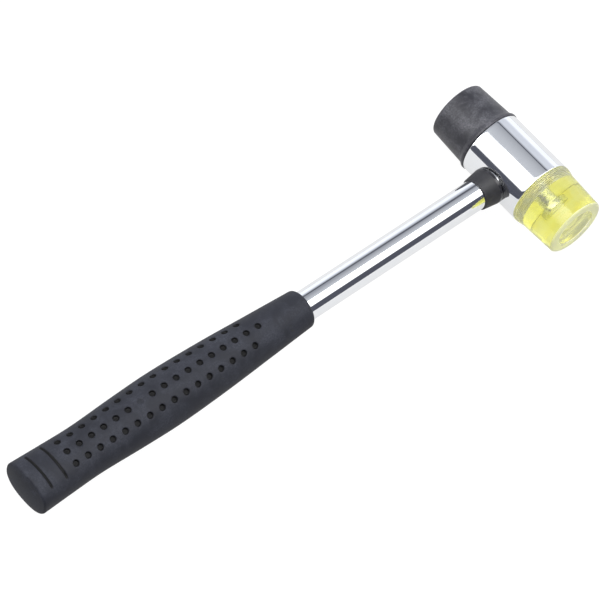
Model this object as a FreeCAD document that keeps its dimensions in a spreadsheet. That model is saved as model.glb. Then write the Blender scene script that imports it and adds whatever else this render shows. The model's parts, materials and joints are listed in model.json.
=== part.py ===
import FreeCAD, Part
import math
import os

import Sketcher

# A double-faced soft mallet, in millimetres, lying on its side.
# +X runs along the handle towards the head, +Y towards the black rubber face,
# and +Z up. The origin is on the ground under the middle of the whole mallet.
# The handle axis and the head axis cross at the head's centre.

DIMENSIONS = (
    ("head_x", 117.525, "head centre in front of the origin"),
    ("head_z", 14.55, "head centre above the ground"),
    ("barrel_radius", 14.3, "chrome barrel"),
    ("rubber_shoulder", 15.1, "barrel shoulder on the rubber side, from the head centre"),
    ("clear_shoulder", 14.5, "barrel shoulder on the clear side, from the head centre"),
    ("barrel_break", 0.35, "chamfer on the barrel's edges"),
    ("spigot_radius", 12.2, "spigot that each face's skirt covers"),
    ("spigot_length", 3.5, "spigot beyond its shoulder"),
    ("thread_radius", 2.5, "stud thread, major radius"),
    ("thread_clearance", 0.05, "tapped hole over the stud, radial"),
    ("tapped_depth", 9.5, "tapped hole from the spigot's end"),
    ("stud_engagement", 7.2, "length of stud inside the tapped hole"),
    ("stud_head_radius", 4.0, "moulded-in head of the stud"),
    ("stud_head_start", 8.2, "underside of the stud's head, from the shoulder"),
    ("stud_head_length", 2.5, "thickness of the stud's head"),
    ("seat_gap", 0.1, "gap on each side of the washer and at the face's mouth"),
    ("washer_radius", 11.2, "washer between spigot and face"),
    ("washer_hole_radius", 2.7, "hole in the washer"),
    ("washer_thickness", 1.0, "thickness of the washer"),
    ("skirt_radius", 12.4, "inside of each face's skirt"),
    ("rubber_length", 20.0, "rubber face beyond its shoulder"),
    ("rubber_lip_radius", 14.55, "lip at the rubber face's mouth"),
    ("rubber_lip_length", 1.1, "straight part of the lip"),
    ("rubber_neck_start", 2.7, "end of the slope behind the lip"),
    ("rubber_neck_radius", 13.7, "rubber face where its slope ends"),
    ("rubber_end_radius", 12.8, "rubber face at its striking end"),
    ("rubber_edge", 1.0, "rounding of the rubber striking edge"),
    ("clear_length", 20.6, "clear face beyond its shoulder"),
    ("clear_mouth_radius", 14.3, "clear face at its mouth"),
    ("clear_mouth_length", 1.4, "straight part of the clear face's mouth"),
    ("clear_neck_start", 4.5, "end of the slope behind the mouth"),
    ("clear_neck_radius", 13.65, "clear face where its slope ends"),
    ("clear_end_radius", 12.9, "clear face at its striking end"),
    ("clear_edge", 0.9, "rounding of the clear striking edge"),
    ("tube_radius", 6.25, "handle tube, outside"),
    ("tube_wall", 1.2, "handle tube's wall"),
    ("tube_front", 8.0, "tube's end past the head centre"),
    ("tube_back", 246.0, "tube's end behind the head centre"),
    ("collar_back", 22.2, "collar's tube end behind the head centre"),
    ("collar_rim", 15.6, "end of the collar's taper behind the head centre"),
    ("collar_front", 14.0, "collar's front, which meets the barrel's side"),
    ("collar_small_radius", 6.8, "collar at its tube end"),
    ("collar_large_radius", 7.75, "collar against the barrel"),
    ("grip_front_edge", 1.0, "chamfer on the grip's front edge"),
    ("grip_butt_edge", 0.8, "chamfer on the grip's butt edge"),
    ("dimple_radius", 1.2, "radius of a dimple"),
    ("dimple_depth", 0.9, "depth of a dimple"),
    ("dimple_pitch", 5.82, "spacing of the dimples along the grip"),
    ("dimple_last", 230.0, "rearmost dimple behind the head centre"),
    ("dimple_row_angle", 36.0, "angle between neighbouring rows"),
    ("groove_width", 0.9, "width of the grooves that bound the blank panel"),
    ("groove_depth", 0.5, "depth of those grooves"),
    ("groove_length", 17.0, "length of those grooves across the grip"),
    ("groove_front", 236.1, "front groove behind the head centre"),
    ("groove_rear", 243.2, "rear groove behind the head centre"),
)

# Sections of the grip: distance behind the head centre, half width across the
# handle, half height, and the exponent of the superellipse, which is 2 for an
# ellipse. The grip is round at its front and oval at its butt.
GRIP_SECTIONS = (
    (113.0, 8.0, 8.0, 2.0),
    (135.0, 9.35, 9.2, 2.0),
    (158.0, 10.75, 10.25, 2.0),
    (182.0, 11.6, 10.75, 2.0),
    (200.0, 11.25, 10.0, 2.05),
    (220.0, 10.55, 9.0, 2.1),
    (235.0, 10.9, 8.8, 2.2),
    (249.6, 11.5, 8.65, 2.25),
)
SECTION_POINTS = 24
OUTER_ROW_DIMPLES = 16
MIDDLE_ROW_DIMPLES = 17

AXIS_X = FreeCAD.Vector(1, 0, 0)
AXIS_Z = FreeCAD.Vector(0, 0, 1)

doc = FreeCAD.newDocument("mallet")
dims = doc.addObject("Spreadsheet::Sheet", "dims")
for row, (alias, value, note) in enumerate(DIMENSIONS, start=1):
    dims.set(f"A{row}", note)
    dims.set(f"B{row}", str(value))
    dims.setAlias(f"B{row}", alias)
doc.recompute()


def size(alias):
    """One driving dimension, as a number."""
    return float(dims.get(alias))


# Shared building steps


def new_body(name):
    """An empty body, whose label names the file that it is written to."""
    body = doc.addObject("PartDesign::Body", name)
    body.Label = name
    return body


def new_sketch(body, role, name):
    """A sketch on one of the body's own origin planes."""
    sketch = body.newObject("Sketcher::SketchObject", name)
    plane = [item for item in body.Origin.OriginFeatures if item.Role == role][0]
    sketch.AttachmentSupport = [(plane, "")]
    sketch.MapMode = "FlatFace"
    return sketch


def draw_polygon(sketch, corners):
    """A closed polygon whose corners are pairs of expressions of the sheet."""
    places = [tuple(float(sketch.evalExpression(text)) for text in corner) for corner in corners]
    count = len(corners)
    for index, (start_x, start_y) in enumerate(places):
        end_x, end_y = places[(index + 1) % count]
        start = FreeCAD.Vector(start_x, start_y, 0)
        end = FreeCAD.Vector(end_x, end_y, 0)
        sketch.addGeometry(Part.LineSegment(start, end), False)
    for index in range(count):
        following = (index + 1) % count
        sketch.addConstraint(Sketcher.Constraint("Coincident", index, 2, following, 1))
    for index, corner in enumerate(corners):
        for kind, text, value in zip(("DistanceX", "DistanceY"), corner, places[index]):
            number = sketch.addConstraint(Sketcher.Constraint(kind, -1, 1, index, 1, value))
            sketch.setExpression(f"Constraints[{number}]", text)


def draw_circle(sketch, radius_text):
    """A circle about the sketch's origin."""
    radius = float(sketch.evalExpression(radius_text))
    centre = FreeCAD.Vector(0, 0, 0)
    circle = sketch.addGeometry(Part.Circle(centre, AXIS_Z, radius), False)
    sketch.addConstraint(Sketcher.Constraint("Coincident", circle, 3, -1, 1))
    number = sketch.addConstraint(Sketcher.Constraint("Radius", circle, radius))
    sketch.setExpression(f"Constraints[{number}]", radius_text)


def revolve(body, corners):
    """Revolve a polygon about the body's X axis."""
    sketch = new_sketch(body, "XY_Plane", body.Name + "_section")
    draw_polygon(sketch, corners)
    turned = body.newObject("PartDesign::Revolution", body.Name + "_turned")
    turned.Profile = sketch
    turned.ReferenceAxis = (sketch, ["H_Axis"])
    turned.Angle = 360
    doc.recompute()
    return turned


def ring_edges(feature, radius, position):
    """Names of the feature's circular edges of this radius at this place along X."""
    names = []
    for number, edge in enumerate(feature.Shape.Edges, start=1):
        if not isinstance(edge.Curve, Part.Circle):
            continue
        same_radius = abs(edge.Curve.Radius - radius) < 1e-4
        if same_radius and abs(edge.Curve.Center.x - position) < 1e-4:
            names.append(f"Edge{number}")
    return names


def dress_edges(body, kind, base, names, radius_text):
    """Round or chamfer named edges of the last feature."""
    dressed = body.newObject("PartDesign::" + kind, body.Name + "_" + kind.lower())
    dressed.Base = (base, names)
    dressed.setExpression("Radius" if kind == "Fillet" else "Size", radius_text)
    doc.recompute()
    return dressed


def pocket_circle(body, radius_text, offset_text, both_ways):
    """Cut a round hole along the body's Y axis, from an offset plane or both ways."""
    before = body.Shape.Volume
    sketch = new_sketch(body, "XZ_Plane", body.Name + "_hole_outline")
    sketch.setExpression("AttachmentOffset.Base.z", offset_text)
    draw_circle(sketch, radius_text)
    pocket = body.newObject("PartDesign::Pocket", body.Name + "_hole")
    pocket.Profile = sketch
    pocket.Type = "ThroughAll"
    pocket.Midplane = both_ways
    doc.recompute()
    if body.Shape.Volume > before - 1.0:
        raise RuntimeError(f"{body.Label}: the round hole removes nothing")


def place_on_handle(item):
    """Put a piece modelled about the head centre, along the handle, in its place."""
    item.setExpression("Placement.Base.x", "dims.head_x")
    item.setExpression("Placement.Base.z", "dims.head_z")


def place_on_head(body, shoulder_text, degrees):
    """Turn a piece's X axis onto the head axis and move it to its shoulder."""
    body.Placement = FreeCAD.Placement(FreeCAD.Vector(0, 0, 0), FreeCAD.Rotation(AXIS_Z, degrees))
    place_on_handle(body)
    body.setExpression("Placement.Base.y", shoulder_text)


# Head


def build_barrel():
    """Chromed steel barrel: a spigot and a tapped hole at each end, a socket for the tube."""
    body = new_body("head_barrel")
    hole = "dims.thread_radius + dims.thread_clearance"
    rubber_end = "dims.rubber_shoulder + dims.spigot_length"
    clear_end = "-dims.clear_shoulder - dims.spigot_length"
    turned = revolve(body, [
        (clear_end, hole),
        (clear_end, "dims.spigot_radius"),
        ("-dims.clear_shoulder", "dims.spigot_radius"),
        ("-dims.clear_shoulder", "dims.barrel_radius"),
        ("dims.rubber_shoulder", "dims.barrel_radius"),
        ("dims.rubber_shoulder", "dims.spigot_radius"),
        (rubber_end, "dims.spigot_radius"),
        (rubber_end, hole),
        (rubber_end + " - dims.tapped_depth", hole),
        (rubber_end + " - dims.tapped_depth", "0"),
        (clear_end + " + dims.tapped_depth", "0"),
        (clear_end + " + dims.tapped_depth", hole),
    ])
    rubber_tip = size("rubber_shoulder") + size("spigot_length")
    clear_tip = -size("clear_shoulder") - size("spigot_length")
    edges = ring_edges(turned, size("barrel_radius"), size("rubber_shoulder"))
    edges += ring_edges(turned, size("barrel_radius"), -size("clear_shoulder"))
    edges += ring_edges(turned, size("spigot_radius"), rubber_tip)
    edges += ring_edges(turned, size("spigot_radius"), clear_tip)
    dress_edges(body, "Chamfer", turned, edges, "dims.barrel_break")
    pocket_circle(body, "dims.tube_radius", "dims.tube_front", False)
    place_on_head(body, "0", 90)
    return body


def build_stud(name, shoulder_text, degrees):
    """Headed steel stud that a face is moulded onto."""
    body = new_body(name)
    start = "dims.spigot_length - dims.stud_engagement"
    head_end = "dims.stud_head_start + dims.stud_head_length"
    revolve(body, [
        (start, "0"),
        (start, "dims.thread_radius"),
        ("dims.stud_head_start", "dims.thread_radius"),
        ("dims.stud_head_start", "dims.stud_head_radius"),
        (head_end, "dims.stud_head_radius"),
        (head_end, "0"),
    ])
    place_on_head(body, shoulder_text, degrees)
    return body


def build_washer(name, shoulder_text, degrees):
    """Flat steel washer between the barrel's spigot and the face."""
    body = new_body(name)
    inner = "dims.spigot_length + dims.seat_gap"
    outer = inner + " + dims.washer_thickness"
    revolve(body, [
        (inner, "dims.washer_hole_radius"),
        (inner, "dims.washer_radius"),
        (outer, "dims.washer_radius"),
        (outer, "dims.washer_hole_radius"),
    ])
    place_on_head(body, shoulder_text, degrees)
    return body


def socket_corners():
    """Inside of a face, from its mouth to the end of the moulded-in stud."""
    floor = "dims.spigot_length + 2 * dims.seat_gap + dims.washer_thickness"
    head_end = "dims.stud_head_start + dims.stud_head_length"
    return [
        (head_end, "0"),
        (head_end, "dims.stud_head_radius"),
        ("dims.stud_head_start", "dims.stud_head_radius"),
        ("dims.stud_head_start", "dims.thread_radius"),
        (floor, "dims.thread_radius"),
        (floor, "dims.skirt_radius"),
        ("dims.seat_gap", "dims.skirt_radius"),
    ]


def build_rubber_face():
    """Black rubber face: lip at the mouth, tapered body, rounded striking edge."""
    body = new_body("rubber_face")
    turned = revolve(body, socket_corners() + [
        ("dims.seat_gap", "dims.rubber_lip_radius"),
        ("dims.rubber_lip_length", "dims.rubber_lip_radius"),
        ("dims.rubber_neck_start", "dims.rubber_neck_radius"),
        ("dims.rubber_length", "dims.rubber_end_radius"),
        ("dims.rubber_length", "0"),
    ])
    edges = ring_edges(turned, size("rubber_end_radius"), size("rubber_length"))
    dress_edges(body, "Fillet", turned, edges, "dims.rubber_edge")
    place_on_head(body, "dims.rubber_shoulder", 90)
    return body


def build_clear_face():
    """Clear yellow face: flush mouth, gentle slope and taper, rounded striking edge."""
    body = new_body("clear_face")
    turned = revolve(body, socket_corners() + [
        ("dims.seat_gap", "dims.clear_mouth_radius"),
        ("dims.clear_mouth_length", "dims.clear_mouth_radius"),
        ("dims.clear_neck_start", "dims.clear_neck_radius"),
        ("dims.clear_length", "dims.clear_end_radius"),
        ("dims.clear_length", "0"),
    ])
    edges = ring_edges(turned, size("clear_end_radius"), size("clear_length"))
    dress_edges(body, "Fillet", turned, edges, "dims.clear_edge")
    place_on_head(body, "-dims.clear_shoulder", -90)
    return body


# Handle


def build_tube():
    """Chromed steel tube, pressed into the barrel and covered by the grip."""
    body = new_body("handle_tube")
    inside = "dims.tube_radius - dims.tube_wall"
    revolve(body, [
        ("-dims.tube_back", inside),
        ("-dims.tube_back", "dims.tube_radius"),
        ("dims.tube_front", "dims.tube_radius"),
        ("dims.tube_front", inside),
    ])
    place_on_handle(body)
    return body


def build_collar():
    """Black conical collar on the tube, cut where its flat front meets the barrel's side."""
    body = new_body("neck_collar")
    revolve(body, [
        ("-dims.collar_back", "dims.tube_radius"),
        ("-dims.collar_back", "dims.collar_small_radius"),
        ("-dims.collar_rim", "dims.collar_large_radius"),
        ("-dims.collar_front", "dims.collar_large_radius"),
        ("-dims.collar_front", "dims.tube_radius"),
    ])
    pocket_circle(body, "dims.barrel_radius", "0", True)
    place_on_handle(body)
    return body


def section_wire(behind, half_width, half_height, exponent):
    """Closed smooth superellipse across the handle."""
    points = []
    for step in range(SECTION_POINTS):
        angle = 2 * math.pi * step / SECTION_POINTS
        across = math.copysign(abs(math.cos(angle)) ** (2 / exponent), math.cos(angle))
        upward = math.copysign(abs(math.sin(angle)) ** (2 / exponent), math.sin(angle))
        points.append(FreeCAD.Vector(-behind, half_width * across, half_height * upward))
    curve = Part.BSplineCurve()
    curve.interpolate(points, PeriodicFlag=True)
    return Part.Wire([curve.toShape()])


def edge_breaker(section, edge, forward):
    """Solid that widens at 45 degrees from one end of the grip and trims that end's edge."""
    behind, half_width, half_height, exponent = section
    reach = GRIP_SECTIONS[-1][0] - GRIP_SECTIONS[0][0]
    small = section_wire(behind, half_width - edge, half_height - edge, exponent)
    wide = section_wire(
        behind - forward * reach, half_width - edge + reach, half_height - edge + reach, exponent)
    return Part.makeLoft([small, wide], True, True)


def grip_blank():
    """Grip without its bore, dimples and grooves, with both end edges broken."""
    blank = Part.makeLoft([section_wire(*section) for section in GRIP_SECTIONS], True)
    blank = blank.common(edge_breaker(GRIP_SECTIONS[0], size("grip_front_edge"), -1))
    return blank.common(edge_breaker(GRIP_SECTIONS[-1], size("grip_butt_edge"), 1))


def dimple_pin(blank, behind, degrees):
    """Short radial pin that sinks one dimple to its depth under the local surface."""
    outward = FreeCAD.Rotation(AXIS_X, degrees).multVec(AXIS_Z)
    axis_point = FreeCAD.Vector(-behind, 0, 0)
    reach = size("barrel_radius")
    surface = Part.makeLine(axis_point, axis_point + outward * reach).common(blank).Length
    foot = axis_point + outward * (surface - size("dimple_depth"))
    return Part.makeCylinder(size("dimple_radius"), reach - surface, foot, outward)


def dimple_pins(blank):
    """Pins for three rows on the upper side and three on the lower side."""
    step = size("dimple_row_angle")
    rows = ((-step, OUTER_ROW_DIMPLES), (0, MIDDLE_ROW_DIMPLES), (step, OUTER_ROW_DIMPLES))
    pins = []
    for side in (0, 180):
        for angle, count in rows:
            for index in range(count):
                behind = size("dimple_last") - index * size("dimple_pitch")
                pins.append(dimple_pin(blank, behind, side + angle))
    return pins


def panel_grooves(blank):
    """Bars that cut the two grooves, of even depth, across the upper side near the butt."""
    width = size("groove_width")
    length = size("groove_length")
    reach = size("barrel_radius")
    shrink = 1 - size("groove_depth") / GRIP_SECTIONS[-1][2]
    squeeze = FreeCAD.Matrix()
    squeeze.scale(1, shrink, shrink)
    core = blank.transformGeometry(squeeze)
    bars = []
    for alias in ("groove_front", "groove_rear"):
        corner = FreeCAD.Vector(-size(alias) - width / 2, -length / 2, 0)
        bars.append(Part.makeBox(width, length, reach, corner).cut(core))
    return bars


def build_grip():
    """Moulded rubber grip with a blind bore, dimples and a blank panel."""
    blank = grip_blank()
    bore_end = FreeCAD.Vector(-size("tube_back"), 0, 0)
    bore = Part.makeCylinder(size("tube_radius"), size("tube_back"), bore_end, AXIS_X)
    grip = doc.addObject("Part::Feature", "grip")
    grip.Label = "grip"
    grip.Shape = blank.cut([bore] + dimple_pins(blank) + panel_grooves(blank))
    place_on_handle(grip)
    return grip


def check_and_export(parts):
    """Stop on any failed feature or bad shape, then write one file for each part."""
    doc.recompute()
    for item in doc.Objects:
        if "Invalid" in item.State or "Error" in item.State:
            raise RuntimeError(f"{item.Name} did not compute: {item.State}")
    for part in parts:
        if part.Shape.isNull() or not part.Shape.isValid():
            raise RuntimeError(f"{part.Label} has no valid shape")
    os.makedirs("parts", exist_ok=True)
    for part in parts:
        part.Shape.exportStep(f"parts/{part.Label}.step")
        print(f"{part.Label:20s} {part.Shape.Volume:10.1f} mm3, {len(part.Shape.Solids)} solid")


check_and_export([
    build_barrel(),
    build_tube(),
    build_collar(),
    build_grip(),
    build_rubber_face(),
    build_stud("rubber_face_stud", "dims.rubber_shoulder", 90),
    build_washer("rubber_face_washer", "dims.rubber_shoulder", 90),
    build_clear_face(),
    build_stud("clear_face_stud", "-dims.clear_shoulder", -90),
    build_washer("clear_face_washer", "-dims.clear_shoulder", -90),
])
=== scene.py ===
import json
import math

import bmesh
import bpy
from mathutils import Matrix, Vector


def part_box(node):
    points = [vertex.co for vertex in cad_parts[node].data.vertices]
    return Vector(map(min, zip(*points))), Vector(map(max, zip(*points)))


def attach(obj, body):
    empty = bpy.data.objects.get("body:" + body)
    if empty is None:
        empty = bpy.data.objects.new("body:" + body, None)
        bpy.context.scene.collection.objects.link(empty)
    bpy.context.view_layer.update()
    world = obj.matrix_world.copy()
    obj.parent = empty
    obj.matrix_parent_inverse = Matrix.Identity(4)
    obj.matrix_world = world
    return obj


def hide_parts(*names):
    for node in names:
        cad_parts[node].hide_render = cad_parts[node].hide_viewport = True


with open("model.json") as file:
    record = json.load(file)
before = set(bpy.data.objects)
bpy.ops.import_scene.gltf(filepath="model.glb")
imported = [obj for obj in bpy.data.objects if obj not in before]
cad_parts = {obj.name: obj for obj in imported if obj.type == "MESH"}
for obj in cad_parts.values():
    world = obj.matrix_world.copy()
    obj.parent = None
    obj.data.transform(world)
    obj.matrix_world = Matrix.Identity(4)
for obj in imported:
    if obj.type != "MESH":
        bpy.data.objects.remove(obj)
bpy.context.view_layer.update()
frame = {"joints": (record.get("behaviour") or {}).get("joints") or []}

MM = 0.001

# ---------------------------------------------------------------- places and sizes from the frame


def joint_place(name):
    """Where a hinge sits at rest."""
    found = [joint for joint in frame["joints"] if joint["name"] == name]
    return Vector(found[0]["pos_m"])


HEAD = joint_place("rubber_face_turn")
TO_BUTT = Vector((-1, 0, 0))
SEAT_GAP = 0.1 * MM

barrel_low, barrel_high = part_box("head_barrel")
rubber_low, rubber_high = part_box("rubber_face")
clear_low, clear_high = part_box("clear_face")
tube_low, tube_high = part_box("handle_tube")
collar_low, collar_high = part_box("neck_collar")
grip_low, grip_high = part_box("grip")
stud_low, stud_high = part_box("rubber_face_stud")
washer_low, washer_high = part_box("rubber_face_washer")

BARREL_RADIUS = (barrel_high.x - barrel_low.x) / 2
RUBBER_SHOULDER = rubber_low.y - SEAT_GAP
CLEAR_SHOULDER = -clear_high.y - SEAT_GAP
SPIGOT_LENGTH = barrel_high.y - RUBBER_SHOULDER
RUBBER_LENGTH = rubber_high.y - RUBBER_SHOULDER
CLEAR_LENGTH = -clear_low.y - CLEAR_SHOULDER
RUBBER_LIP_RADIUS = (rubber_high.x - rubber_low.x) / 2
CLEAR_MOUTH_RADIUS = (clear_high.x - clear_low.x) / 2
TUBE_RADIUS = (tube_high.z - tube_low.z) / 2
TUBE_BACK = HEAD.x - tube_low.x
TUBE_FRONT = tube_high.x - HEAD.x
COLLAR_BACK = HEAD.x - collar_low.x
COLLAR_RADIUS = (collar_high.z - collar_low.z) / 2
GRIP_FRONT = HEAD.x - grip_high.x
GRIP_BUTT = HEAD.x - grip_low.x
STUD_HEAD_RADIUS = (stud_high.x - stud_low.x) / 2
STUD_START = stud_low.y - RUBBER_SHOULDER
STUD_END = stud_high.y - RUBBER_SHOULDER
WASHER_RADIUS = (washer_high.x - washer_low.x) / 2
WASHER_INNER = washer_low.y - RUBBER_SHOULDER
WASHER_OUTER = washer_high.y - RUBBER_SHOULDER

# Sizes inside the pieces, which the boxes don't give
SPIGOT_RADIUS = 12.2 * MM
SKIRT_RADIUS = 12.4 * MM
THREAD_RADIUS = 2.5 * MM
THREAD_PITCH = 0.8 * MM
THREAD_DEPTH = 0.45 * MM
TAPPED_RADIUS = 2.55 * MM
TAPPED_DEPTH = 9.5 * MM
STUD_HEAD_START = STUD_END - 2.5 * MM
STUD_TIP_EDGE = 0.4 * MM
STUD_PLAIN_ENDS = 0.5 * MM
SOCKET_GAP = 0.02 * MM
WASHER_HOLE_RADIUS = 2.7 * MM
TUBE_WALL = 1.2 * MM
FACE_FLOOR = WASHER_OUTER + SEAT_GAP

# Turned grooves of a spigot: place as a share of their pitch, depth in millimetres
SPIGOT_GROOVES = 5
SPIGOT_GROOVE_OUTLINE = ((-0.28, 0), (-0.12, 0.3), (0.12, 0.3), (0.28, 0))

# Outsides of the faces. A neck is its distance from the barrel's shoulder and its radius.
RUBBER_LIP_END = 1.1 * MM
RUBBER_NECK = (2.7 * MM, 13.7 * MM)
RUBBER_END_RADIUS = 12.8 * MM
RUBBER_END_EDGE = 1.0 * MM
CLEAR_MOUTH_END = 1.4 * MM
CLEAR_NECK = (4.5 * MM, 13.65 * MM)
CLEAR_END_RADIUS = 12.9 * MM
CLEAR_END_EDGE = 0.9 * MM
CLEAR_RECESS_RADIUS = 8.6 * MM
CLEAR_RECESS_SLOPE = 0.2 * MM
CLEAR_RECESS_DEPTH = 0.4 * MM
CLEAR_RIM_BLUR = 0.4 * MM
CLEAR_FROST = (0.9 * MM, 0.35 * MM)
MOULD_RING_PITCH = 0.62 * MM
MOULD_RING_FADE = (5.2 * MM, 3.4 * MM)

# Collar: its rim and front are distances behind the head centre
COLLAR_RIM = 15.6 * MM
COLLAR_FRONT = 14.0 * MM
COLLAR_SMALL_RADIUS = 6.8 * MM
COLLAR_POLISH = 0.5 * MM

# Sections of the grip: distance behind the head centre, half width, half height, exponent
GRIP_SECTIONS = (
    (GRIP_FRONT, 8.0 * MM, 8.0 * MM, 2.0),
    (135.0 * MM, 9.35 * MM, 9.2 * MM, 2.0),
    (158.0 * MM, 10.75 * MM, 10.25 * MM, 2.0),
    (182.0 * MM, 11.6 * MM, 10.75 * MM, 2.0),
    (200.0 * MM, 11.25 * MM, 10.0 * MM, 2.05),
    (220.0 * MM, 10.55 * MM, 9.0 * MM, 2.1),
    (235.0 * MM, 10.9 * MM, 8.8 * MM, 2.2),
    (GRIP_BUTT, 11.5 * MM, 8.65 * MM, 2.25),
)
DIMPLE_PITCH = 5.82 * MM
DIMPLE_LAST = 230.0 * MM
DIMPLE_ROW_STEP = 36
ROWS_AROUND = 360 // DIMPLE_ROW_STEP
OUTER_ROW_DIMPLES = 16
MIDDLE_ROW_DIMPLES = 17
SHALLOW_STATION = 6  # counted from 0 at the butt
SHALLOW_SHARE = 0.2
DIMPLE_DEPTH = 1.0 * MM

# Outline of a dimple: radius in millimetres, share of its depth
DIMPLE_RINGS = (
    (2.2, 0.0), (1.75, 0.0), (1.5, 0.03), (1.4, 0.10), (1.32, 0.26),
    (1.26, 0.58), (1.2, 0.86), (1.05, 0.98), (0.6, 1.0),
)
PANEL_GROOVES = (236.1 * MM, 243.2 * MM)
PANEL_HALF_WIDTH = 8.5 * MM
PANEL_FADE = 1 * MM
GROOVE_DEPTH = 0.5 * MM
GROOVE_FLOOR = 0.25 * MM
GROOVE_EDGE = 0.65 * MM
GROOVE_KEEP_OUT = 0.8 * MM
GROOVE_ROWS = (-0.65, -0.45, -0.25, 0.25, 0.45, 0.65)  # millimetres from its middle
BUTT_EDGE = 1.0 * MM
BUTT_DOME = 0.8 * MM
BUTT_SHARES = (0.25, 0.45, 0.62, 0.76, 0.88)
BUTT_MARGIN = 0.4 * MM
FRONT_EDGE = 1.1 * MM
FRONT_MARGIN = 2.4 * MM

# How finely the meshes are divided. A dimple sits in a patch of CELL by CELL faces.
LATHE_STEPS = 192
ARC_STEPS = 6
BARREL_ROWS = 24
STUD_STEPS = 64
STUD_ROWS = 170
CELL = 8
COLUMNS = CELL * ROWS_AROUND
ON_AXIS = 1e-7
ON_STEM = 1e-6

# ---------------------------------------------------------------- mesh building


def new_piece(name, mesh, material, body, slot, *nodes):
    """Make a smooth object from a bmesh, dress it, and hang it on its body."""
    bmesh.ops.recalc_face_normals(mesh, faces=mesh.faces)
    data = bpy.data.meshes.new(name)
    mesh.to_mesh(data)
    mesh.free()
    data.shade_smooth()
    data.materials.append(material)
    piece = bpy.data.objects.new(name, data)
    bpy.context.scene.collection.objects.link(piece)
    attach(piece, body)
    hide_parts(*nodes)
    return piece


def weigh_normals(piece):
    """Flat faces beside small roundings keep flat shading."""
    modifier = piece.modifiers.new("weighted", "WEIGHTED_NORMAL")
    modifier.keep_sharp = True


def arc_corner(before, corner, after, radius):
    """Points of the arc that rounds one corner of an outline."""
    to_before = (before - corner).normalized()
    to_after = (after - corner).normalized()
    half_angle = to_before.angle(to_after) / 2
    reach = radius / math.tan(half_angle)
    centre = corner + (to_before + to_after).normalized() * radius / math.sin(half_angle)
    start = corner + to_before * reach - centre
    end = corner + to_after * reach - centre
    return [centre + start.slerp(end, step / ARC_STEPS) * radius for step in range(ARC_STEPS + 1)]


def rounded(corners):
    """Outline from (distance, radius, rounding) corners, where rounding 0 keeps a corner."""
    points = [Vector((distance, radius)) for distance, radius, _ in corners]
    outline = []
    for index, (_, _, rounding) in enumerate(corners):
        if rounding == 0:
            outline.append(points[index])
            continue
        after = points[(index + 1) % len(points)]
        outline += arc_corner(points[index - 1], points[index], after, rounding)
    return outline


def lathe(outline, origin, axis, warp=None, steps=LATHE_STEPS):
    """Turn a closed outline about an axis. warp moves a point, given its angle from +Z."""
    axis = Vector(axis)
    up = Vector((0, 0, 1))
    side = up.cross(axis)
    mesh = bmesh.new()
    rings = []
    for distance, radius in outline:
        count = 1 if radius < ON_AXIS else steps
        ring = []
        for step in range(count):
            angle = 2 * math.pi * step / steps
            along, out = warp(distance, radius, angle) if warp else (distance, radius)
            spoke = up * math.cos(angle) + side * math.sin(angle)
            ring.append(mesh.verts.new(origin + axis * along + spoke * out))
        rings.append(ring)
    for first, second in zip(rings, rings[1:] + rings[:1]):
        join_rings(mesh, first, second)
    return mesh


def join_rings(mesh, first, second):
    """Faces between two rings, either of which may be a single point on the axis."""
    count = max(len(first), len(second))
    if count == 1:
        return
    for step in range(count):
        after = step + 1
        corners = [
            first[step % len(first)], first[after % len(first)],
            second[after % len(second)], second[step % len(second)],
        ]
        mesh.faces.new(list(dict.fromkeys(corners)))


# ---------------------------------------------------------------- materials


def new_material(name):
    """An empty node material with its Principled shader."""
    material = bpy.data.materials.new(name)
    material.use_nodes = True
    return material, material.node_tree, material.node_tree.nodes["Principled BSDF"]


def set_values(shader, **values):
    """Set constant sockets of a shader; underscores stand for spaces."""
    for name, value in values.items():
        shader.inputs[name.replace("_", " ")].default_value = value


def place_input(tree):
    """Coordinates fixed to the object, in metres."""
    node = tree.nodes.new("ShaderNodeTexCoord")
    return node.outputs["Object"]


def noise(tree, place, scale, detail=3.0, roughness=0.5, distortion=0.0):
    """Noise whose scale is in features per metre."""
    node = tree.nodes.new("ShaderNodeTexNoise")
    tree.links.new(place, node.inputs["Vector"])
    node.inputs["Scale"].default_value = scale
    node.inputs["Detail"].default_value = detail
    node.inputs["Roughness"].default_value = roughness
    node.inputs["Distortion"].default_value = distortion
    return node.outputs["Fac"]


def ramp(tree, value, *stops):
    """Colour ramp from (position, colour) stops; a bare number is a grey."""
    node = tree.nodes.new("ShaderNodeValToRGB")
    tree.links.new(value, node.inputs["Fac"])
    elements = node.color_ramp.elements
    while len(elements) < len(stops):
        elements.new(0.5)
    for element, (position, colour) in zip(elements, stops):
        element.position = position
        element.color = (*colour, 1) if isinstance(colour, tuple) else (colour,) * 3 + (1,)
    return node.outputs["Color"]


def mix(tree, factor, first, second, blend="MIX"):
    """Mix two colours. factor and the colours may be sockets or plain values."""
    node = tree.nodes.new("ShaderNodeMix")
    node.data_type = "RGBA"
    node.blend_type = blend
    sockets = (node.inputs[0], node.inputs[6], node.inputs[7])
    for socket, value in zip(sockets, (factor, first, second)):
        if isinstance(value, bpy.types.NodeSocket):
            tree.links.new(value, socket)
        elif isinstance(value, tuple):
            socket.default_value = (*value, 1)
        else:
            socket.default_value = value
    return node.outputs[2]


def axes_of(tree, vector):
    """The X, Y and Z of a vector."""
    node = tree.nodes.new("ShaderNodeSeparateXYZ")
    tree.links.new(vector, node.inputs[0])
    return node.outputs["X"], node.outputs["Y"], node.outputs["Z"]


def math_node(tree, operation, *values):
    """One Math node, fed by sockets or numbers."""
    node = tree.nodes.new("ShaderNodeMath")
    node.operation = operation
    for socket, value in zip(node.inputs, values):
        if isinstance(value, bpy.types.NodeSocket):
            tree.links.new(value, socket)
        else:
            socket.default_value = value
    return node.outputs[0]


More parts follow.
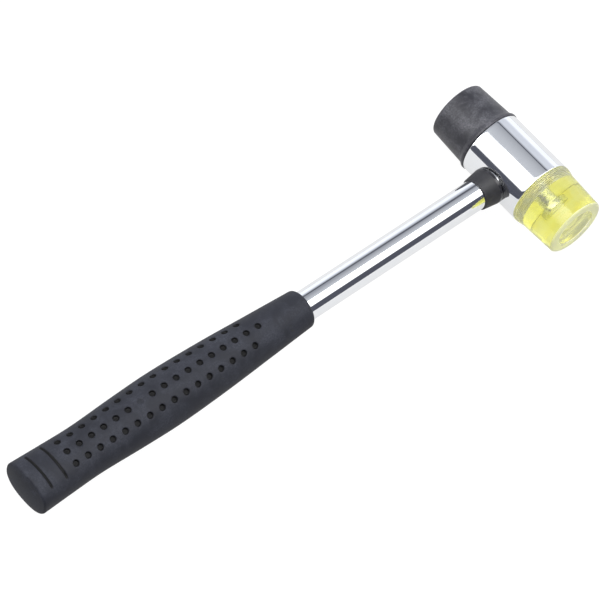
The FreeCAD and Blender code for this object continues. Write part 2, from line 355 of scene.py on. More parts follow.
def soft_edge(tree, value, low, high):
    """Smooth 0 to 1 between low and high."""
    node = tree.nodes.new("ShaderNodeMapRange")
    node.interpolation_type = "SMOOTHSTEP"
    node.inputs["From Min"].default_value = low
    node.inputs["From Max"].default_value = high
    tree.links.new(value, node.inputs["Value"])
    return node.outputs["Result"]


def bump(tree, shader, height, strength, distance, previous=None):
    """Bump from a height in 0 to 1, worth distance in metres."""
    node = tree.nodes.new("ShaderNodeBump")
    node.inputs["Strength"].default_value = strength
    node.inputs["Distance"].default_value = distance
    tree.links.new(height, node.inputs["Height"])
    if previous:
        tree.links.new(previous, node.inputs["Normal"])
    tree.links.new(node.outputs["Normal"], shader.inputs["Normal"])
    return node.outputs["Normal"]


def chrome_material(name, stretch):
    """Bright chrome: faint haze, fine polishing lines and a slightly wavy ground."""
    material, tree, shader = new_material(name)
    set_values(shader, Metallic=1.0, IOR=2.5)
    place = place_input(tree)
    lines = tree.nodes.new("ShaderNodeMapping")
    lines.inputs["Scale"].default_value = stretch
    tree.links.new(place, lines.inputs["Vector"])
    polish = noise(tree, lines.outputs["Vector"], 900, 4, 0.6)
    haze = noise(tree, place, 160, 5, 0.6)
    tint = ramp(tree, haze, (0.3, (0.90, 0.915, 0.94)), (0.7, (0.95, 0.96, 0.975)))
    tree.links.new(tint, shader.inputs["Base Color"])
    rough = ramp(tree, haze, (0.35, 0.04), (0.75, 0.08))
    tree.links.new(rough, shader.inputs["Roughness"])
    waves = bump(tree, shader, noise(tree, place, 90, 2), 1.0, 0.000006)
    bump(tree, shader, polish, 1.0, 0.0000004, waves)
    return material


def rubber_material(name, dark, pale, scuff_start, scuff_size, roughness, shine):
    """Matt moulded rubber with a fine grain and pale mottled scuffs."""
    material, tree, shader = new_material(name)
    set_values(shader, Specular_IOR_Level=shine)
    place = place_input(tree)
    blotches = noise(tree, place, 1 / scuff_size, 6, 0.6, 0.4)
    grain = noise(tree, place, 1500, 6, 0.7)
    scuffs = ramp(tree, blotches, (scuff_start, 0.0), (scuff_start + 0.30, 1.0))
    broken = mix(tree, 1.0, scuffs, ramp(tree, grain, (0.38, 0.25), (0.62, 1.0)), "MULTIPLY")
    tree.links.new(mix(tree, broken, dark, pale), shader.inputs["Base Color"])
    rough = ramp(tree, blotches, (0.3, roughness - 0.06), (0.7, roughness + 0.08))
    tree.links.new(rough, shader.inputs["Roughness"])
    soft = bump(tree, shader, noise(tree, place, 420, 4), 0.7, 0.00005)
    bump(tree, shader, grain, 0.6, 0.00003, soft)
    return material


def paint_recess_shade(material):
    """Painted shade: make the dimples and grooves, which the skin's painted-shade attribute
    marks, nearly black.
    """
    tree = material.node_tree
    colour = tree.nodes["Principled BSDF"].inputs["Base Color"]
    skin = colour.links[0].from_socket
    recess_shade = tree.nodes.new("ShaderNodeAttribute")
    recess_shade.attribute_name = "recess_shade"
    # Painted shade: the colour falls to 5% by half the full recess depth and stays there.
    shade = ramp(tree, recess_shade.outputs["Fac"], (0.0, 1.0), (0.5, 0.05))
    tree.links.new(mix(tree, 1.0, skin, shade, "MULTIPLY"), colour)
    return material


def clear_material():
    """Clear yellow polyurethane: frosted striking end, moulding rings near the mouth, and a
    painted glow from emission, faint all over and stronger on the frosted end and the rings.
    """
    material, tree, shader = new_material("clear_yellow")
    # The emission colour is the pale yellow of the painted glow.
    set_values(shader, IOR=1.5, Emission_Color=(0.97, 1.0, 0.72, 1))
    place = place_input(tree)
    _, along, _ = axes_of(tree, place)
    offset = tree.nodes.new("ShaderNodeVectorMath")
    offset.operation = "SUBTRACT"
    offset.inputs[1].default_value = (HEAD.x, clear_low.y, HEAD.z)
    tree.links.new(place, offset.inputs[0])
    reach = tree.nodes.new("ShaderNodeVectorMath")
    reach.operation = "LENGTH"
    tree.links.new(offset.outputs["Vector"], reach.inputs[0])
    rim = soft_edge(
        tree, reach.outputs["Value"],
        CLEAR_RECESS_RADIUS - CLEAR_RIM_BLUR, CLEAR_RECESS_RADIUS + CLEAR_RIM_BLUR)
    end_frost_and_glow = soft_edge(
        tree, along, clear_low.y + CLEAR_FROST[0], clear_low.y + CLEAR_FROST[1])
    rim_frost_and_glow = math_node(tree, "MULTIPLY", end_frost_and_glow, rim)
    clouds = noise(tree, place, 300, 4)
    patches = ramp(tree, noise(tree, place, 170, 3), (0.45, 0.0), (0.62, 1.0))
    body = mix(tree, patches, (0.98, 0.98, 0.90), (1.0, 0.95, 0.55))
    tree.links.new(mix(tree, rim_frost_and_glow, body, (0.95, 0.95, 0.88)), shader.inputs["Base Color"])
    sides = ramp(tree, clouds, (0.35, 0.07), (0.7, 0.13))
    end = mix(tree, rim, (0.16, 0.16, 0.16), (0.40, 0.40, 0.40))
    tree.links.new(mix(tree, end_frost_and_glow, sides, end), shader.inputs["Roughness"])
    phase = math_node(tree, "MULTIPLY", along, 2 * math.pi / MOULD_RING_PITCH)
    waves = math_node(tree, "SINE", phase)
    near_mouth = soft_edge(
        tree, along, clear_high.y - MOULD_RING_FADE[0], clear_high.y - MOULD_RING_FADE[1])
    rings = math_node(tree, "MULTIPLY", waves, near_mouth)
    ridges = math_node(tree, "MAXIMUM", rings, 0)
    ridge_haze = math_node(tree, "MULTIPLY", ridges, 0.22)
    haze = math_node(tree, "MULTIPLY_ADD", rim_frost_and_glow, 0.30, ridge_haze)
    clear = math_node(tree, "SUBTRACT", 0.98, haze)
    tree.links.new(clear, shader.inputs["Transmission Weight"])
    # Painted glow: emission, though the face is no lamp, faint everywhere and stronger on the
    # frosted end, its outer ring and the moulding rings.
    painted_end_glow = math_node(tree, "MULTIPLY_ADD", end_frost_and_glow, 0.11, 0.02)
    painted_ridge_glow = math_node(tree, "MULTIPLY_ADD", ridges, 0.10, painted_end_glow)
    glow = math_node(tree, "MULTIPLY_ADD", rim_frost_and_glow, 0.06, painted_ridge_glow)
    tree.links.new(glow, shader.inputs["Emission Strength"])
    soft = bump(tree, shader, noise(tree, place, 120, 3), 0.6, 0.00003)
    bump(tree, shader, rings, 1.0, 0.00020, soft)
    depth = tree.nodes.new("ShaderNodeVolumeAbsorption")
    depth.inputs["Color"].default_value = (0.97, 0.965, 0.10, 1)
    depth.inputs["Density"].default_value = 62.0
    tree.links.new(depth.outputs["Volume"], tree.nodes["Material Output"].inputs["Volume"])
    return material


def steel_material(name):
    """Zinc-plated steel with a cloudy tint and fine grain."""
    material, tree, shader = new_material(name)
    set_values(shader, Metallic=1.0)
    place = place_input(tree)
    clouds = noise(tree, place, 500, 4, 0.6)
    tint = ramp(tree, clouds, (0.3, (0.62, 0.64, 0.66)), (0.7, (0.80, 0.81, 0.80)))
    tree.links.new(tint, shader.inputs["Base Color"])
    tree.links.new(ramp(tree, clouds, (0.3, 0.22), (0.7, 0.36)), shader.inputs["Roughness"])
    bump(tree, shader, noise(tree, place, 3000, 3), 0.4, 0.000008)
    return material


def collar_material():
    """Satin black moulded plastic, polished by handling at its rim."""
    material, tree, shader = new_material("collar_satin")
    set_values(shader, Specular_IOR_Level=0.5)
    place = place_input(tree)
    along, _, _ = axes_of(tree, place)
    rim_place = HEAD.x - COLLAR_RIM
    rim = soft_edge(tree, along, rim_place, rim_place + COLLAR_POLISH)
    clouds = noise(tree, place, 260, 5, 0.6)
    colour = ramp(tree, clouds, (0.3, (0.016, 0.016, 0.019)), (0.75, (0.036, 0.036, 0.042)))
    tree.links.new(colour, shader.inputs["Base Color"])
    satin = ramp(tree, clouds, (0.3, 0.46), (0.7, 0.60))
    tree.links.new(mix(tree, rim, satin, (0.16, 0.16, 0.16)), shader.inputs["Roughness"])
    bump(tree, shader, noise(tree, place, 1200, 4), 0.6, 0.000015)
    return material


CHROME_BARREL = chrome_material("chrome_barrel", (1.0, 0.08, 1.0))
CHROME_TUBE = chrome_material("chrome_tube", (0.08, 1.0, 1.0))
# The grip's dimples and grooves get painted shade.
GRIP_RUBBER = paint_recess_shade(rubber_material(
    "grip_rubber", dark=(0.018, 0.0195, 0.0275), pale=(0.052, 0.056, 0.073),
    scuff_start=0.42, scuff_size=9 * MM, roughness=0.62, shine=0.30))
FACE_RUBBER = rubber_material(
    "face_rubber", dark=(0.026, 0.026, 0.033), pale=(0.15, 0.15, 0.17),
    scuff_start=0.40, scuff_size=8 * MM, roughness=0.42, shine=0.45)
CLEAR_YELLOW = clear_material()
STUD_STEEL = steel_material("stud_steel")
WASHER_STEEL = steel_material("washer_steel")
COLLAR_BLACK = collar_material()

# ---------------------------------------------------------------- head


def spigot_grooves(start, end):
    """Corners of the turned grooves that grip a face's skirt."""
    pitch = (end - start) / (SPIGOT_GROOVES + 1)
    corners = []
    for groove in range(1, SPIGOT_GROOVES + 1):
        middle = start + groove * pitch
        for offset, depth in SPIGOT_GROOVE_OUTLINE:
            corners.append((middle + offset * pitch, SPIGOT_RADIUS - depth * MM, 0))
    return corners


def build_barrel():
    """Chrome barrel with turned spigots and tapped holes. The tube's end sits inside it."""
    edge = 0.3 * MM
    rubber_end = RUBBER_SHOULDER + SPIGOT_LENGTH
    clear_end = -CLEAR_SHOULDER - SPIGOT_LENGTH
    corners = [
        (clear_end + TAPPED_DEPTH, 0, 0),
        (clear_end + TAPPED_DEPTH, TAPPED_RADIUS, 0),
        (clear_end, TAPPED_RADIUS, edge),
        (clear_end, SPIGOT_RADIUS, edge),
        *spigot_grooves(clear_end, -CLEAR_SHOULDER),
        (-CLEAR_SHOULDER, SPIGOT_RADIUS, 0),
        (-CLEAR_SHOULDER, BARREL_RADIUS, edge),
    ]
    for row in range(1, BARREL_ROWS):
        place = -CLEAR_SHOULDER + (RUBBER_SHOULDER + CLEAR_SHOULDER) * row / BARREL_ROWS
        corners.append((place, BARREL_RADIUS, 0))
    corners += [
        (RUBBER_SHOULDER, BARREL_RADIUS, edge),
        (RUBBER_SHOULDER, SPIGOT_RADIUS, 0),
        *spigot_grooves(RUBBER_SHOULDER, rubber_end),
        (rubber_end, SPIGOT_RADIUS, edge),
        (rubber_end, TAPPED_RADIUS, edge),
        (rubber_end - TAPPED_DEPTH, TAPPED_RADIUS, 0),
        (rubber_end - TAPPED_DEPTH, 0, 0),
    ]
    mesh = lathe(rounded(corners), HEAD, (0, 1, 0))
    weigh_normals(new_piece(
        "head_barrel_chrome", mesh, CHROME_BARREL, "mallet", "chrome_plate", "head_barrel"))


def thread_warp(start, end):
    """Warp that presses a screw thread into the stem between two distances."""
    def warp(distance, radius, angle):
        if not start < distance < end or radius > THREAD_RADIUS + ON_STEM:
            return distance, radius
        phase = (distance / THREAD_PITCH - angle / (2 * math.pi)) % 1
        valley = 0.5 + 0.5 * math.cos(2 * math.pi * phase)
        fade = min(1, (distance - start) / THREAD_PITCH, (end - distance) / THREAD_PITCH)
        return distance, radius - THREAD_DEPTH * valley * fade
    return warp


def build_stud(name, shoulder, axis, body, node):
    """Headed stud with a right-hand thread."""
    edge = 0.25 * MM
    corners = [
        (STUD_START, 0, 0),
        (STUD_START, THREAD_RADIUS - STUD_TIP_EDGE, 0),
        (STUD_START + STUD_TIP_EDGE, THREAD_RADIUS, 0),
    ]
    stem = STUD_HEAD_START - STUD_START - STUD_PLAIN_ENDS
    for row in range(1, STUD_ROWS):
        place = STUD_START + STUD_TIP_EDGE + stem * row / STUD_ROWS
        corners.append((place, THREAD_RADIUS, 0))
    corners += [
        (STUD_HEAD_START, THREAD_RADIUS, 0),
        (STUD_HEAD_START, STUD_HEAD_RADIUS, edge),
        (STUD_END, STUD_HEAD_RADIUS, edge),
        (STUD_END, 0, 0),
    ]
    warp = thread_warp(STUD_START + STUD_TIP_EDGE, STUD_HEAD_START - THREAD_PITCH)
    origin = HEAD + Vector(axis) * shoulder
    mesh = lathe(rounded(corners), origin, axis, warp, STUD_STEPS)
    new_piece(name, mesh, STUD_STEEL, body, "stud_steel", node)


def build_washer(name, shoulder, axis, body, node):
    """Flat washer with softly rolled edges."""
    edge = 0.2 * MM
    corners = [
        (WASHER_INNER, WASHER_HOLE_RADIUS, edge),
        (WASHER_INNER, WASHER_RADIUS, edge),
        (WASHER_OUTER, WASHER_RADIUS, edge),
        (WASHER_OUTER, WASHER_HOLE_RADIUS, edge),
    ]
    mesh = lathe(rounded(corners), HEAD + Vector(axis) * shoulder, axis)
    weigh_normals(new_piece(name, mesh, WASHER_STEEL, body, "washer_steel", node))


def socket_corners():
    """Inside of a face: round the stud's head and stem, the floor and the skirt."""
    stem_radius = THREAD_RADIUS - THREAD_DEPTH
    head_radius = STUD_HEAD_RADIUS - 0.05 * MM
    return [
        (STUD_END - SOCKET_GAP, 0, 0),
        (STUD_END - SOCKET_GAP, head_radius, 0),
        (STUD_HEAD_START + SOCKET_GAP, head_radius, 0),
        (STUD_HEAD_START + SOCKET_GAP, stem_radius, 0),
        (FACE_FLOOR, stem_radius, 0),
        (FACE_FLOOR, SKIRT_RADIUS, 0.4 * MM),
    ]


def build_rubber_face():
    """Black rubber face: lip at the mouth, a soft slope, tapered body, rounded edge."""
    corners = socket_corners() + [
        (SEAT_GAP, SKIRT_RADIUS, 0.2 * MM),
        (SEAT_GAP, RUBBER_LIP_RADIUS, 0.3 * MM),
        (RUBBER_LIP_END, RUBBER_LIP_RADIUS, 0.4 * MM),
        (*RUBBER_NECK, 1.2 * MM),
        (RUBBER_LENGTH, RUBBER_END_RADIUS, RUBBER_END_EDGE),
        (RUBBER_LENGTH, 0, 0),
    ]
    mesh = lathe(rounded(corners), HEAD + Vector((0, RUBBER_SHOULDER, 0)), (0, 1, 0))
    weigh_normals(new_piece(
        "rubber_face_black", mesh, FACE_RUBBER, "rubber_tip", "face_rubber", "rubber_face"))


def build_clear_face():
    """Clear face: flush mouth, gentle slope and taper, rounded edge, recess in its end."""
    edge = 0.15 * MM
    recess_floor = CLEAR_LENGTH - CLEAR_RECESS_DEPTH
    corners = socket_corners() + [
        (SEAT_GAP, SKIRT_RADIUS, 0.2 * MM),
        (SEAT_GAP, CLEAR_MOUTH_RADIUS, 0.3 * MM),
        (CLEAR_MOUTH_END, CLEAR_MOUTH_RADIUS, 2.0 * MM),
        (*CLEAR_NECK, 3.0 * MM),
        (CLEAR_LENGTH, CLEAR_END_RADIUS, CLEAR_END_EDGE),
        (CLEAR_LENGTH, CLEAR_RECESS_RADIUS + CLEAR_RECESS_SLOPE, edge),
        (recess_floor, CLEAR_RECESS_RADIUS - CLEAR_RECESS_SLOPE, edge),
        (recess_floor, 0, 0),
    ]
    mesh = lathe(rounded(corners), HEAD - Vector((0, CLEAR_SHOULDER, 0)), (0, -1, 0))
    weigh_normals(new_piece(
        "clear_face_yellow", mesh, CLEAR_YELLOW, "clear_tip", "face_clear", "clear_face"))


# ---------------------------------------------------------------- handle


def build_tube():
    """Chromed tube, from inside the grip to inside the barrel."""
    inside = TUBE_RADIUS - TUBE_WALL
    edge = 0.3 * MM
    corners = [
        (-TUBE_FRONT, inside, edge),
        (-TUBE_FRONT, TUBE_RADIUS, edge),
        (TUBE_BACK, TUBE_RADIUS, edge),
        (TUBE_BACK, inside, edge),
    ]
    mesh = lathe(rounded(corners), HEAD, TO_BUTT)
    weigh_normals(new_piece(
        "handle_tube_chrome", mesh, CHROME_TUBE, "mallet", "chrome_tube", "handle_tube"))


def build_collar():
    """Black conical collar whose flat front meets the barrel's side."""
    def sit_on_barrel(distance, radius, angle):
        height = radius * math.cos(angle)
        surface = math.sqrt(BARREL_RADIUS ** 2 - height ** 2)
        return max(distance, surface), radius

    corners = [
        (COLLAR_BACK, TUBE_RADIUS, 0),
        (COLLAR_BACK, COLLAR_SMALL_RADIUS, 0.25 * MM),
        (COLLAR_RIM, COLLAR_RADIUS, 0.4 * MM),
        (COLLAR_FRONT, COLLAR_RADIUS, 0.3 * MM),
        (COLLAR_FRONT, TUBE_RADIUS, 0),
    ]
    mesh = lathe(rounded(corners), HEAD, TO_BUTT, sit_on_barrel)
    weigh_normals(new_piece(
        "neck_collar_black", mesh, COLLAR_BLACK, "mallet", "collar_black", "neck_collar"))


def hermite(stations, place, column):
    """Smooth interpolation of one column of the stations."""
    def slope(index):
        low = max(index - 1, 0)
        high = min(index + 1, len(stations) - 1)
        rise = stations[high][column] - stations[low][column]
        return rise / (stations[high][0] - stations[low][0])

    index = 0
    while index < len(stations) - 2 and place > stations[index + 1][0]:
        index += 1
    start, end = stations[index], stations[index + 1]
    span = end[0] - start[0]
    part = min(max((place - start[0]) / span, 0), 1)
    return (
        (2 * part ** 3 - 3 * part ** 2 + 1) * start[column]
        + (part ** 3 - 2 * part ** 2 + part) * span * slope(index)
        + (3 * part ** 2 - 2 * part ** 3) * end[column]
        + (part ** 3 - part ** 2) * span * slope(index + 1)
    )


def grip_point(behind, angle, inset=0.0, share=1.0):
    """Point of the grip's surface, inset by a depth; the angle is from +Z towards +Y."""
    half_width, half_height, exponent = [
        hermite(GRIP_SECTIONS, behind, column) for column in (1, 2, 3)]
    across, upward = math.sin(angle), math.cos(angle)
    spread = abs(across / half_width) ** exponent + abs(upward / half_height) ** exponent
    reach = (spread ** (-1 / exponent) - inset) * share
    return HEAD + Vector((-behind, across * reach, upward * reach))


def smooth_step(low, high, value):
    """0 below low, 1 above high, smooth between."""
    part = min(max((value - low) / (high - low), 0), 1)
    return part * part * (3 - 2 * part)


def groove_share(behind, angle):
    """How deep the two grooves near the butt are here, from 0 to 1."""
    if math.cos(angle) < 0:
        return 0.0
    across = abs(grip_point(behind, angle).y - HEAD.y)
    fade = 1 - smooth_step(PANEL_HALF_WIDTH - PANEL_FADE, PANEL_HALF_WIDTH, across)
    nearest = min(abs(behind - groove) for groove in PANEL_GROOVES)
    return fade * (1 - smooth_step(GROOVE_FLOOR, GROOVE_EDGE, nearest))


def dimple_plan():
    """Depth share of every dimple, keyed by its (station, row) cell."""
    plan = {}
    rows = ((-1, OUTER_ROW_DIMPLES), (0, MIDDLE_ROW_DIMPLES), (1, OUTER_ROW_DIMPLES))
    for side in (0, ROWS_AROUND // 2):
        for row, count in rows:
            for station in range(count):
                plan[(station, (row + side) % ROWS_AROUND)] = 1.0
    plan[(SHALLOW_STATION, 0)] = SHALLOW_SHARE
    return plan


def grip_rows():
    """Rows along the grip's side, butt first, and the index of the first dimple's row."""
    step = DIMPLE_PITCH / CELL
    first_cell = DIMPLE_LAST + DIMPLE_PITCH / 2
    rows = []
    place = GRIP_BUTT - BUTT_DOME - BUTT_EDGE - BUTT_MARGIN
    near_groove = [groove + offset * MM for groove in PANEL_GROOVES for offset in GROOVE_ROWS]
    while place > first_cell + 0.4 * step:
        rows.append(place)
        place -= step
    rows = [
        row for row in rows
        if min(abs(row - groove) for groove in PANEL_GROOVES) > GROOVE_KEEP_OUT]
    rows = sorted(rows + near_groove, reverse=True)
    start = len(rows)
    rows += [first_cell - step * index for index in range(CELL * MIDDLE_ROW_DIMPLES + 1)]
    place = rows[-1] - step
    while place > GRIP_FRONT + FRONT_MARGIN:
        rows.append(place)
        place -= step
    return rows, start


def grip_end(place, rounding, inward):
    """(distance, inset) of the rows that round one end of the grip."""
    rows = []
    for step in range(ARC_STEPS + 1):
        angle = math.pi / 2 * step / ARC_STEPS
        distance = place + inward * rounding * (1 - math.sin(angle))
        rows.append((distance, rounding * (1 - math.cos(angle))))
    return rows


def column_angle(column):
    """Angle of one column of the grip's skin from +Z towards +Y."""
    return math.radians(DIMPLE_ROW_STEP / CELL * (column - CELL / 2))


def skin_ring(mesh, behind, inset=0.0, share=1.0):
    """One ring of the grip's skin, pressed in at the grooves, which are marked for painted shade.
    """
    recess_shade = mesh.verts.layers.float["recess_shade"]
    ring = []
    for column in range(COLUMNS):
        angle = column_angle(column)
        groove = groove_share(behind, angle)
        vert = mesh.verts.new(grip_point(behind, angle, inset + GROOVE_DEPTH * groove, share))
        # Painted shade: the groove's depth share is stored as how dark to paint it.
        vert[recess_shade] = groove
        ring.append(vert)
    return ring


def bore_ring(mesh, behind):
    """One ring of the bore that the tube fills."""
    ring = []
    for column in range(COLUMNS):
        angle = column_angle(column)
        offset = Vector((-behind, math.sin(angle) * TUBE_RADIUS, math.cos(angle) * TUBE_RADIUS))
        ring.append(mesh.verts.new(HEAD + offset))
    return ring


def build_grip():
    """Moulded grip: oval skin, dimples, grooves, domed butt and a blind bore."""
    mesh = bmesh.new()
    # Layer holding the amount of painted shade in the dimples and grooves.
    mesh.verts.layers.float.new("recess_shade")
    rows, start = grip_rows()
    rings = [[mesh.verts.new(HEAD + TO_BUTT * GRIP_BUTT)]]
    for share in BUTT_SHARES:
        behind = GRIP_BUTT - BUTT_DOME * share ** 2
        rings.append(skin_ring(mesh, behind, BUTT_EDGE, share))
    butt_end = grip_end(GRIP_BUTT - BUTT_DOME, BUTT_EDGE, -1)
    rings += [skin_ring(mesh, *end) for end in butt_end[::-1]]
    first_dimple_ring = len(rings) + start
    rings += [skin_ring(mesh, behind) for behind in rows]
    rings += [skin_ring(mesh, *end) for end in grip_end(GRIP_FRONT, FRONT_EDGE, 1)]
    rings += [bore_ring(mesh, behind) for behind in (GRIP_FRONT, TUBE_BACK)]
    rings += [[mesh.verts.new(HEAD + TO_BUTT * TUBE_BACK)]]
    plan = dimple_plan()
    for index, (first, second) in enumerate(zip(rings, rings[1:])):
        station = (index - first_dimple_ring) // CELL
        if not 0 <= station < MIDDLE_ROW_DIMPLES:
            join_rings(mesh, first, second)
            continue
        for column in range(COLUMNS):
            if (station, column // CELL) in plan:
                continue
            after = (column + 1) % COLUMNS
            mesh.faces.new((first[column], first[after], second[after], second[column]))
    for (station, cell_row), depth in plan.items():
        cell_rings = rings[first_dimple_ring + station * CELL:][:CELL + 1]
        add_dimple(mesh, cell_rings, station, cell_row, depth)
    new_piece("grip_rubber_moulded", mesh, GRIP_RUBBER, "mallet", "grip_rubber", "grip")


def cell_border(cell_rings, cell_row):
    """Vertices around one cell of the skin, in order."""
    columns = [(cell_row * CELL + step) % COLUMNS for step in range(CELL + 1)]
    border = [cell_rings[0][column] for column in columns]
    border += [cell_rings[row][columns[-1]] for row in range(1, CELL + 1)]
    border += [cell_rings[-1][column] for column in reversed(columns[:-1])]
    border += [cell_rings[row][columns[0]] for row in range(CELL - 1, 0, -1)]
    return border


def add_dimple(mesh, cell_rings, station, cell_row, depth):
    """Fill one cell of the grip's skin with a round, flat-bottomed dimple, marked for painted
    shade by its depth.
    """
    recess_shade = mesh.verts.layers.float["recess_shade"]
    behind = DIMPLE_LAST - station * DIMPLE_PITCH
    middle_angle = math.radians(DIMPLE_ROW_STEP * cell_row)
    radius = (grip_point(behind, middle_angle) - HEAD - TO_BUTT * behind).length
    outer = cell_border(cell_rings, cell_row)
    turns = [cell_direction(corner, behind, middle_angle, radius) for corner in outer]
    for ring_radius, share in DIMPLE_RINGS:
        ring = []
        for turn in turns:
            along = math.cos(turn) * ring_radius * MM
            angle = middle_angle + math.sin(turn) * ring_radius * MM / radius
            vert = mesh.verts.new(grip_point(behind + along, angle, DIMPLE_DEPTH * depth * share))
            # Painted shade: the dimple's depth share is stored as how dark to paint it.
            vert[recess_shade] = share * depth
            ring.append(vert)
        join_rings(mesh, outer, ring)
        outer = ring
    centre = mesh.verts.new(grip_point(behind, middle_angle, DIMPLE_DEPTH * depth))
    centre[recess_shade] = depth
    join_rings(mesh, outer, [centre])


def cell_direction(corner, behind, middle_angle, radius):
    """Direction of a border vertex from its dimple's centre, from butt-ward towards +Y."""
    offset = corner.co - HEAD
    angle = math.atan2(offset.y, offset.z)
    turned = (angle - middle_angle + math.pi) % (2 * math.pi) - math.pi
    return math.atan2(turned * radius, -offset.x - behind)


build_barrel()
build_stud("rubber_stud_threaded", RUBBER_SHOULDER, (0, 1, 0), "rubber_tip", "rubber_face_stud")
build_stud("clear_stud_threaded", CLEAR_SHOULDER, (0, -1, 0), "clear_tip", "clear_face_stud")
build_washer(
    "rubber_washer_flat", RUBBER_SHOULDER, (0, 1, 0), "rubber_washer", "rubber_face_washer")
build_washer("clear_washer_flat", CLEAR_SHOULDER, (0, -1, 0), "clear_washer", "clear_face_washer")
build_rubber_face()
build_clear_face()
build_tube()
build_collar()
build_grip()

# ---------------------------------------------------------------- studio

# The room is laid out by slopes, sideways over upwards: east is along +X, and across is
# square to the softbox's long edges. A pair is where an edge or a grade starts and ends.
# The horizon's pair is heights of a direction of length 1.
ACROSS = (0.516, 0.857)
HORIZON = (-0.02, 0.02)
BOX_NEAR_EDGE = (-0.66, -0.54)
BOX_FAR_EDGE = (0.13, 0.19)
BOX_GRADE = (-0.60, 0.12)
BOX_DIM = 1.5
BOX_RISE = 3.4
CEILING_GRADE = (0.1, 0.9)
CEILING_PALE = (0.60, 0.62, 0.66)
CEILING_GREY = (0.33, 0.345, 0.385)
FRAME_START = (0.62, 0.66)
FRAME_END = (0.72, 0.76)
FRAME_COLOUR = (0.10, 0.105, 0.13)
WALL_START = (0.72, 0.95)
WALL_COLOUR = (0.68, 0.71, 0.78)
LOW_WALL_START = (1.4, 2.6)
LOW_WALL_COLOUR = (1.05, 1.08, 1.15)
DARK_SIDE = (0.088, 0.093, 0.118)
BELOW_HORIZON = (0.105, 0.11, 0.135)

FLOOR_HALF = 1.5
FLOOR_BEHIND = 0.165
FLOOR_SEGMENTS = 8
FLOOR_GLOW = 0.72
FLOOR_GLOW_SEEN = 0.24
FLOOR_GLOW_DIFFUSE = -0.62

CAMERA_AZIMUTH = -53.08
CAMERA_ELEVATION = 55.56
CAMERA_ROLL = 14.49
CAMERA_DISTANCE = 1.549
CAMERA_AIM = (-111.06 * MM, 3.2 * MM, 0)
CAMERA_LENS = 243.2
CAMERA_SENSOR = 36


def build_world():
    """Studio room: an overhead softbox, a grey ceiling, pale walls and a dark side."""
    world = bpy.data.worlds.new("studio")
    world.use_nodes = True
    bpy.context.scene.world = world
    tree = world.node_tree
    background = tree.nodes["Background"]
    direction = tree.nodes.new("ShaderNodeTexCoord").outputs["Generated"]
    x, y, z = axes_of(tree, direction)
    height = math_node(tree, "MAXIMUM", z, 0.001)
    east = math_node(tree, "DIVIDE", x, height)
    north = math_node(tree, "DIVIDE", y, height)
    east_part = math_node(tree, "MULTIPLY", east, ACROSS[0])
    north_part = math_node(tree, "MULTIPLY", north, ACROSS[1])
    across = math_node(tree, "ADD", east_part, north_part)
    above = soft_edge(tree, z, *HORIZON)
    beyond_box = soft_edge(tree, across, *BOX_FAR_EDGE)
    before_box = math_node(tree, "SUBTRACT", 1.0, soft_edge(tree, across, *BOX_NEAR_EDGE))
    past_ceiling = soft_edge(tree, east, *WALL_START)
    frame_start = soft_edge(tree, east, *FRAME_START)
    before_frame_end = math_node(tree, "SUBTRACT", 1.0, soft_edge(tree, east, *FRAME_END))
    frame_edge = math_node(tree, "MULTIPLY", frame_start, before_frame_end)
    grade = soft_edge(tree, across, *CEILING_GRADE)
    ceiling = ramp(tree, grade, (0.0, CEILING_PALE), (1.0, CEILING_GREY))
    room = mix(tree, past_ceiling, ceiling, WALL_COLOUR)
    framed = mix(tree, frame_edge, room, FRAME_COLOUR)
    box_grade = soft_edge(tree, across, *BOX_GRADE)
    glow = math_node(tree, "MULTIPLY_ADD", box_grade, BOX_RISE, BOX_DIM)
    low_wall = soft_edge(tree, across, *LOW_WALL_START)
    walled = mix(tree, low_wall, framed, LOW_WALL_COLOUR)
    lit = mix(tree, beyond_box, glow, walled)
    side = mix(tree, before_box, lit, DARK_SIDE)
    whole = mix(tree, above, BELOW_HORIZON, side)
    plain = tree.nodes.new("ShaderNodeLightPath").outputs["Is Camera Ray"]
    tree.links.new(mix(tree, plain, whole, (1.0, 1.0, 1.0)), background.inputs["Color"])


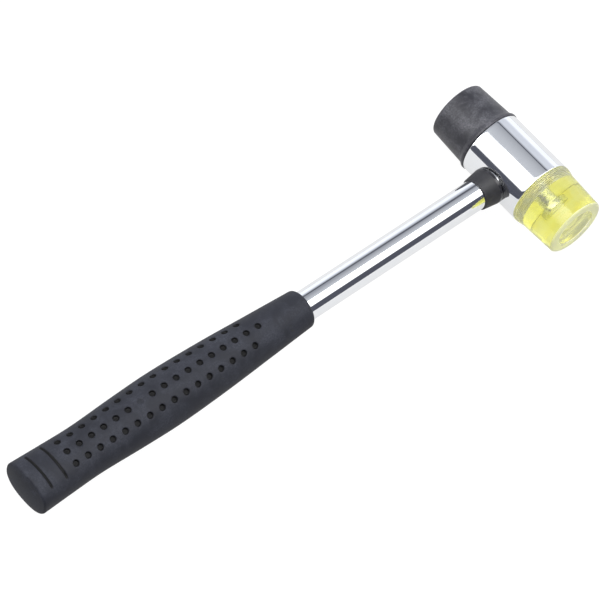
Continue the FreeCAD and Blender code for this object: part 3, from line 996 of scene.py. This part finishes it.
def build_floor():
    """Plain pale floor, lit from within like a light table and white to the camera."""
    mesh = bmesh.new()
    bmesh.ops.create_grid(
        mesh, x_segments=FLOOR_SEGMENTS, y_segments=FLOOR_SEGMENTS, size=FLOOR_HALF)
    data = bpy.data.meshes.new("floor")
    mesh.to_mesh(data)
    mesh.free()
    floor = bpy.data.objects.new("floor", data)
    floor.location.x = FLOOR_HALF - FLOOR_BEHIND
    bpy.context.scene.collection.objects.link(floor)
    material, tree, shader = new_material("floor_white")
    set_values(
        shader, Roughness=0.9, Specular_IOR_Level=0.1,
        Base_Color=(0.10, 0.10, 0.10, 1), Emission_Color=(1, 1, 1, 1))
    ray = tree.nodes.new("ShaderNodeLightPath").outputs
    seen = math_node(tree, "MULTIPLY", ray["Is Camera Ray"], FLOOR_GLOW_SEEN)
    spread = math_node(tree, "MULTIPLY", ray["Is Diffuse Ray"], FLOOR_GLOW_DIFFUSE)
    glow = math_node(tree, "ADD", math_node(tree, "ADD", seen, spread), FLOOR_GLOW)
    tree.links.new(glow, shader.inputs["Emission Strength"])
    data.materials.append(material)


def build_camera():
    """Camera at the fitted angle, turned a little about its own axis."""
    azimuth = math.radians(CAMERA_AZIMUTH)
    elevation = math.radians(CAMERA_ELEVATION)
    roll = math.radians(CAMERA_ROLL)
    aim = HEAD + Vector(CAMERA_AIM)
    back = Vector((
        math.sin(azimuth) * math.cos(elevation),
        -math.cos(azimuth) * math.cos(elevation),
        math.sin(elevation),
    ))
    level = Vector((math.cos(azimuth), math.sin(azimuth), 0))
    upright = back.cross(level)
    right = level * math.cos(roll) + upright * math.sin(roll)
    up = upright * math.cos(roll) - level * math.sin(roll)
    data = bpy.data.cameras.new("camera")
    data.lens = CAMERA_LENS
    data.sensor_width = CAMERA_SENSOR
    camera = bpy.data.objects.new("camera", data)
    rotation = Matrix((right, up, back)).transposed()
    camera.matrix_world = Matrix.Translation(aim + back * CAMERA_DISTANCE) @ rotation.to_4x4()
    bpy.context.scene.collection.objects.link(camera)
    bpy.context.scene.camera = camera


build_world()
build_floor()
build_camera()
bpy.context.scene.view_settings.view_transform = "Standard"
